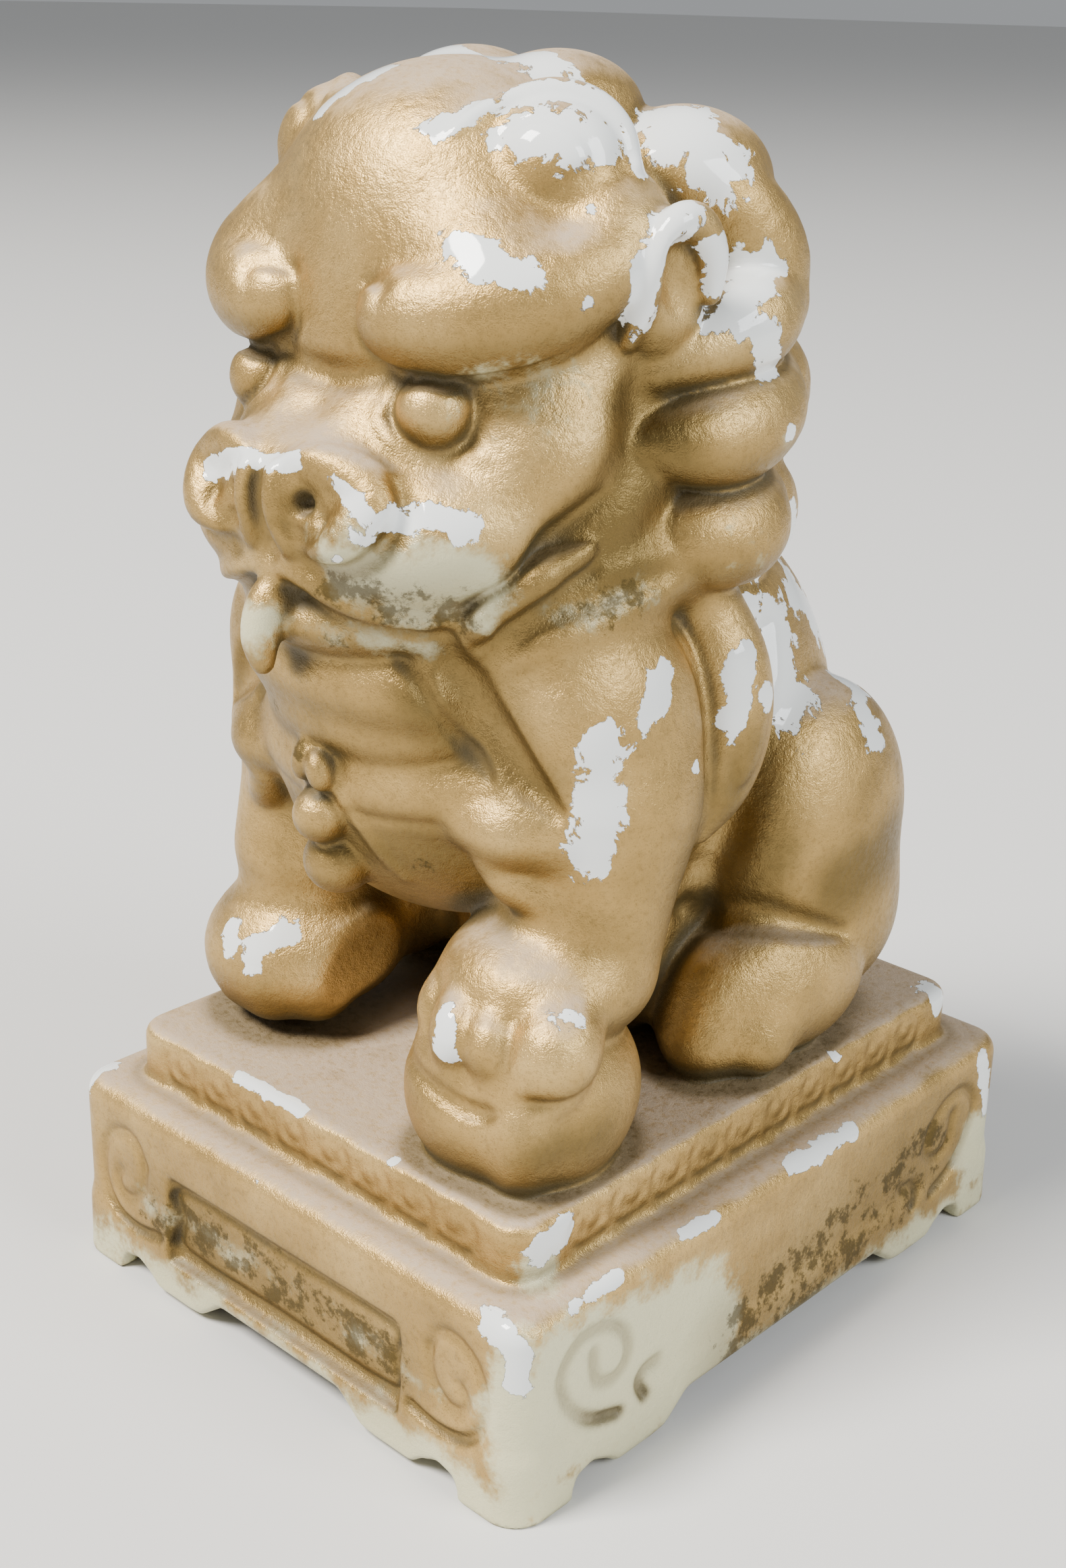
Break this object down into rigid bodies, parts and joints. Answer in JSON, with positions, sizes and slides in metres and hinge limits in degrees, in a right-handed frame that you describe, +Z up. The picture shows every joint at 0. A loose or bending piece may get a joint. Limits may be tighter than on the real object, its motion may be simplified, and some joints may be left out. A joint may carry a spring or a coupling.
{
  "type": "foo dog statue",
  "caption": "Seated guardian lion statue in gilded, worn glazed ceramic: curled mane, bell collar, one forepaw on a ball, on a two-tier plinth with a scalloped apron.",
  "frame": {"origin": "on the ground, under the middle of the statue's outline", "axes": "+Z up; the lion faces -Y and its own left side is +X"},
  "size_m": [0.162, 0.2, 0.305],
  "materials": {
    "gold_lustre_glaze": "satin gold lustre paint over a glossy white glaze, chipped",
    "plinth_glaze": "the same paint, worn thin over a pale green-white glaze"
  },
  "bodies": {
    "root": {"plinth_base": "plinth_glaze", "plinth_step": "plinth_glaze", "body": "gold_lustre_glaze", "head": "gold_lustre_glaze", "haunch_left": "gold_lustre_glaze", "haunch_right": "gold_lustre_glaze", "foreleg_left": "gold_lustre_glaze", "foreleg_right": "gold_lustre_glaze", "ball": "gold_lustre_glaze", "forepaw_left": "gold_lustre_glaze", "forepaw_right": "gold_lustre_glaze", "hind_paw_left": "gold_lustre_glaze", "hind_paw_right": "gold_lustre_glaze", "shoulder_flame_left": "gold_lustre_glaze", "shoulder_flame_right": "gold_lustre_glaze", "tail": "gold_lustre_glaze", "lower_jaw": "gold_lustre_glaze", "muzzle": "gold_lustre_glaze", "cheek_left": "gold_lustre_glaze", "cheek_right": "gold_lustre_glaze", "nose": "gold_lustre_glaze", "beard": "gold_lustre_glaze", "brow_left": "gold_lustre_glaze", "brow_right": "gold_lustre_glaze", "eye_left": "gold_lustre_glaze", "eye_right": "gold_lustre_glaze", "ear_left": "gold_lustre_glaze", "ear_right": "gold_lustre_glaze", "crown_front_left": "gold_lustre_glaze", "crown_front_right": "gold_lustre_glaze", "crown_curl_left": "gold_lustre_glaze", "crown_curl_right": "gold_lustre_glaze", "crown_back_left": "gold_lustre_glaze", "crown_back_right": "gold_lustre_glaze", "mane_upper_left": "gold_lustre_glaze", "mane_upper_right": "gold_lustre_glaze", "mane_ear_left": "gold_lustre_glaze", "mane_ear_right": "gold_lustre_glaze", "mane_cheek_left": "gold_lustre_glaze", "mane_cheek_right": "gold_lustre_glaze", "mane_jaw_left": "gold_lustre_glaze", "mane_jaw_right": "gold_lustre_glaze", "mane_nape_left": "gold_lustre_glaze", "mane_nape_right": "gold_lustre_glaze", "mane_lower_left": "gold_lustre_glaze", "mane_lower_right": "gold_lustre_glaze", "mane_spine_upper": "gold_lustre_glaze", "mane_spine_middle": "gold_lustre_glaze", "mane_spine_lower": "gold_lustre_glaze", "bib": "gold_lustre_glaze", "ribbon_left": "gold_lustre_glaze", "ribbon_right": "gold_lustre_glaze", "collar_band": "gold_lustre_glaze", "bell_knot": "gold_lustre_glaze", "bell": "gold_lustre_glaze", "bell_tassel": "gold_lustre_glaze", "side_bell_left": "gold_lustre_glaze", "side_bell_right": "gold_lustre_glaze"}
  },
  "joints": []
}
